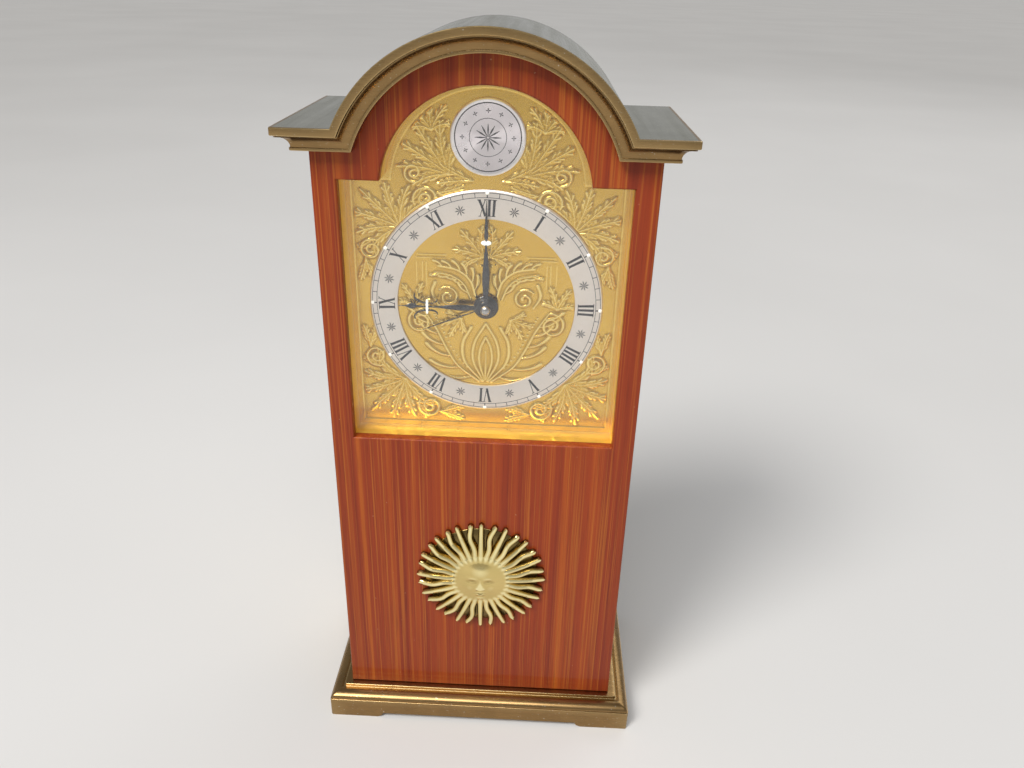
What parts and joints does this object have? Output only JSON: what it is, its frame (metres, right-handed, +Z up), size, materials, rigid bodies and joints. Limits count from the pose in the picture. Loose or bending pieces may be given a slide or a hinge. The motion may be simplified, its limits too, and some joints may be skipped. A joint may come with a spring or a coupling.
{
  "type": "table clock",
  "caption": "Table alarm clock shaped like a small longcase clock: arched brass hood, wood front, gilt dial under a crystal, and a key-wound movement with its controls at the back.",
  "frame": {"origin": "on the ground, under the middle of the clock's overall box", "axes": "+Z up, the dial faces -Y, +X to the right as one looks at the dial"},
  "size_m": [0.0694, 0.0428, 0.1479],
  "materials": {
    "case_brass": "satin olive-brown brass with polished tops and worn edges",
    "wood": "glossy reddish mahogany with straight vertical stripes",
    "gilt": "embossed gilt brass",
    "crystal": "clear polished",
    "silvered": "silvered, finely brushed",
    "black_hands": "black, satin",
    "back_brass": "brushed brass",
    "movement_brass": "satin brass",
    "steel": "polished steel",
    "blued_steel": "blued spring steel"
  },
  "bodies": {
    "case": {"base_plinth": "case_brass", "case_shell": "case_brass", "front_panel": "wood", "hood_cornice": "case_brass", "sun_mask": "gilt", "back_cover": "back_brass", "back_screw_1": "back_brass", "back_screw_2": "back_brass", "back_screw_3": "back_brass", "back_screw_4": "back_brass", "crystal": "crystal", "dial_frame": "gilt", "dial_plate": "gilt", "chapter_ring": "silvered", "medallion": "silvered", "gong_stud": "steel", "front_plate": "movement_brass", "rear_plate": "movement_brass", "pillar_1": "movement_brass", "pillar_2": "movement_brass", "pillar_3": "movement_brass", "pillar_4": "movement_brass", "dial_foot_1": "movement_brass", "dial_foot_2": "movement_brass", "balance_cock": "movement_brass", "hairspring": "blued_steel"},
    "minute": {"minute_hand": "black_hands", "cannon_pinion": "steel"},
    "hour": {"hour_hand": "black_hands", "hour_wheel": "movement_brass"},
    "motion_wheel": {"minute_wheel": "movement_brass"},
    "setter": {"set_knob": "back_brass", "set_arbor": "steel"},
    "alarm_pointer": {"alarm_hand": "black_hands", "alarm_wheel": "movement_brass"},
    "alarm_setter": {"alarm_knob": "back_brass", "alarm_arbor": "steel"},
    "barrel": {"barrel_drum": "movement_brass", "barrel_lid": "movement_brass", "mainspring": "blued_steel"},
    "centre": {"centre_wheel": "movement_brass"},
    "third": {"third_wheel": "movement_brass"},
    "fourth": {"fourth_wheel": "movement_brass"},
    "escape": {"escape_wheel": "movement_brass"},
    "pallet": {"pallet_lever": "steel"},
    "balance": {"balance_wheel": "movement_brass"},
    "regulator": {"regulator_lever": "steel"},
    "time_winder": {"barrel_arbor": "steel", "time_key_hub": "back_brass"},
    "time_bow": {"time_key_bow": "back_brass"},
    "time_pawl": {"time_click": "steel"},
    "alarm_power": {"alarm_barrel": "movement_brass", "alarm_spring": "blued_steel"},
    "alarm_star": {"star_wheel": "movement_brass"},
    "alarm_hammer": {"hammer": "steel"},
    "alarm_winder": {"alarm_barrel_arbor": "steel", "alarm_key_hub": "back_brass"},
    "alarm_bow": {"alarm_key_bow": "back_brass"},
    "alarm_pawl": {"alarm_click": "steel"},
    "stop": {"stop_button": "back_brass"}
  },
  "joints": [
    {"name": "minute_hand_turn", "type": "hinge", "parent": "case", "child": "minute", "pos_m": [0, -0.0167, 0.0988], "axis": [0, 1, 0], "continuous": true},
    {"name": "hour_hand_turn", "type": "hinge", "parent": "case", "child": "hour", "pos_m": [0, -0.0167, 0.0988], "axis": [0, 1, 0], "continuous": true},
    {"name": "minute_wheel_turn", "type": "hinge", "parent": "case", "child": "motion_wheel", "pos_m": [0.00653, -0.0167, 0.09577], "axis": [0, 1, 0], "continuous": true},
    {"name": "set_knob_turn", "type": "hinge", "parent": "case", "child": "setter", "pos_m": [0.0125, -0.0167, 0.09981], "axis": [0, 1, 0], "continuous": true},
    {"name": "alarm_hand_turn", "type": "hinge", "parent": "case", "child": "alarm_pointer", "pos_m": [0, -0.0167, 0.0988], "axis": [0, 1, 0], "continuous": true},
    {"name": "alarm_knob_turn", "type": "hinge", "parent": "case", "child": "alarm_setter", "pos_m": [0.00715, -0.0167, 0.10733], "axis": [0, 1, 0], "continuous": true},
    {"name": "third_wheel_turn", "type": "hinge", "parent": "case", "child": "third", "pos_m": [-0.00186, -0.0167, 0.10935], "axis": [0, 1, 0], "continuous": true},
    {"name": "centre_wheel_turn", "type": "hinge", "parent": "case", "child": "centre", "pos_m": [0, -0.0167, 0.0988], "axis": [0, 1, 0], "continuous": true},
    {"name": "barrel_turn", "type": "hinge", "parent": "case", "child": "barrel", "pos_m": [-0.01085, -0.0167, 0.09374], "axis": [0, 1, 0], "continuous": true},
    {"name": "fourth_wheel_turn", "type": "hinge", "parent": "case", "child": "fourth", "pos_m": [-0.01023, -0.0167, 0.11008], "axis": [0, 1, 0], "continuous": true},
    {"name": "escape_wheel_turn", "type": "hinge", "parent": "case", "child": "escape", "pos_m": [-0.0086, -0.0167, 0.11617], "axis": [0, 1, 0], "continuous": true},
    {"name": "pallet_rock", "type": "hinge", "parent": "case", "child": "pallet", "pos_m": [-0.00371, -0.0167, 0.11794], "axis": [0, 1, 0], "range_deg": [-8, 8]},
    {"name": "balance_swing", "type": "hinge", "parent": "case", "child": "balance", "pos_m": [0.00177, -0.0167, 0.11746], "axis": [0, 1, 0], "range_deg": [-220, 220]},
    {"name": "regulator_turn", "type": "hinge", "parent": "case", "child": "regulator", "pos_m": [0.00177, -0.0167, 0.11746], "axis": [0, 1, 0], "range_deg": [-20, 20]},
    {"name": "time_key_turn", "type": "hinge", "parent": "case", "child": "time_winder", "pos_m": [-0.01085, -0.0167, 0.09374], "axis": [0, 1, 0], "continuous": true},
    {"name": "time_key_fold", "type": "hinge", "parent": "time_winder", "child": "time_bow", "pos_m": [-0.01085, 0.01985, 0.09374], "axis": [1, 0, 0], "range_deg": [0, 90]},
    {"name": "time_click_lift", "type": "hinge", "parent": "case", "child": "time_pawl", "pos_m": [-0.00694, -0.0167, 0.09046], "axis": [0, 1, 0], "range_deg": [0, 12]},
    {"name": "alarm_barrel_turn", "type": "hinge", "parent": "case", "child": "alarm_power", "pos_m": [0.00899, -0.0167, 0.08781], "axis": [0, 1, 0], "continuous": true},
    {"name": "star_wheel_turn", "type": "hinge", "parent": "case", "child": "alarm_star", "pos_m": [-0.00028, -0.0167, 0.08444], "axis": [0, 1, 0], "continuous": true},
    {"name": "hammer_swing", "type": "hinge", "parent": "case", "child": "alarm_hammer", "pos_m": [-0.00554, -0.0167, 0.08062], "axis": [0, -1, 0], "range_deg": [-10, 4]},
    {"name": "alarm_key_turn", "type": "hinge", "parent": "case", "child": "alarm_winder", "pos_m": [0.00899, -0.0167, 0.08781], "axis": [0, 1, 0], "continuous": true},
    {"name": "alarm_key_fold", "type": "hinge", "parent": "alarm_winder", "child": "alarm_bow", "pos_m": [0.00899, 0.01985, 0.08781], "axis": [1, 0, 0], "range_deg": [0, 90]},
    {"name": "alarm_click_lift", "type": "hinge", "parent": "case", "child": "alarm_pawl", "pos_m": [0.0129, -0.0167, 0.08453], "axis": [0, 1, 0], "range_deg": [0, 12]},
    {"name": "stop_push", "type": "slide", "parent": "case", "child": "stop", "axis": [0, -1, 0], "range_m": [0, 0.0025]}
  ],
  "couplings": [
    {"joint": "hour_hand_turn", "follows": "minute_hand_turn", "ratio": 0.083333},
    {"joint": "minute_wheel_turn", "follows": "minute_hand_turn", "ratio": -0.33333},
    {"joint": "set_knob_turn", "follows": "minute_hand_turn", "ratio": 1},
    {"joint": "alarm_knob_turn", "follows": "alarm_hand_turn", "ratio": -6},
    {"joint": "centre_wheel_turn", "follows": "third_wheel_turn", "ratio": -0.16667},
    {"joint": "barrel_turn", "follows": "third_wheel_turn", "ratio": 0.027778},
    {"joint": "fourth_wheel_turn", "follows": "third_wheel_turn", "ratio": -6},
    {"joint": "escape_wheel_turn", "follows": "third_wheel_turn", "ratio": 30},
    {"joint": "star_wheel_turn", "follows": "alarm_barrel_turn", "ratio": -6}
  ]
}
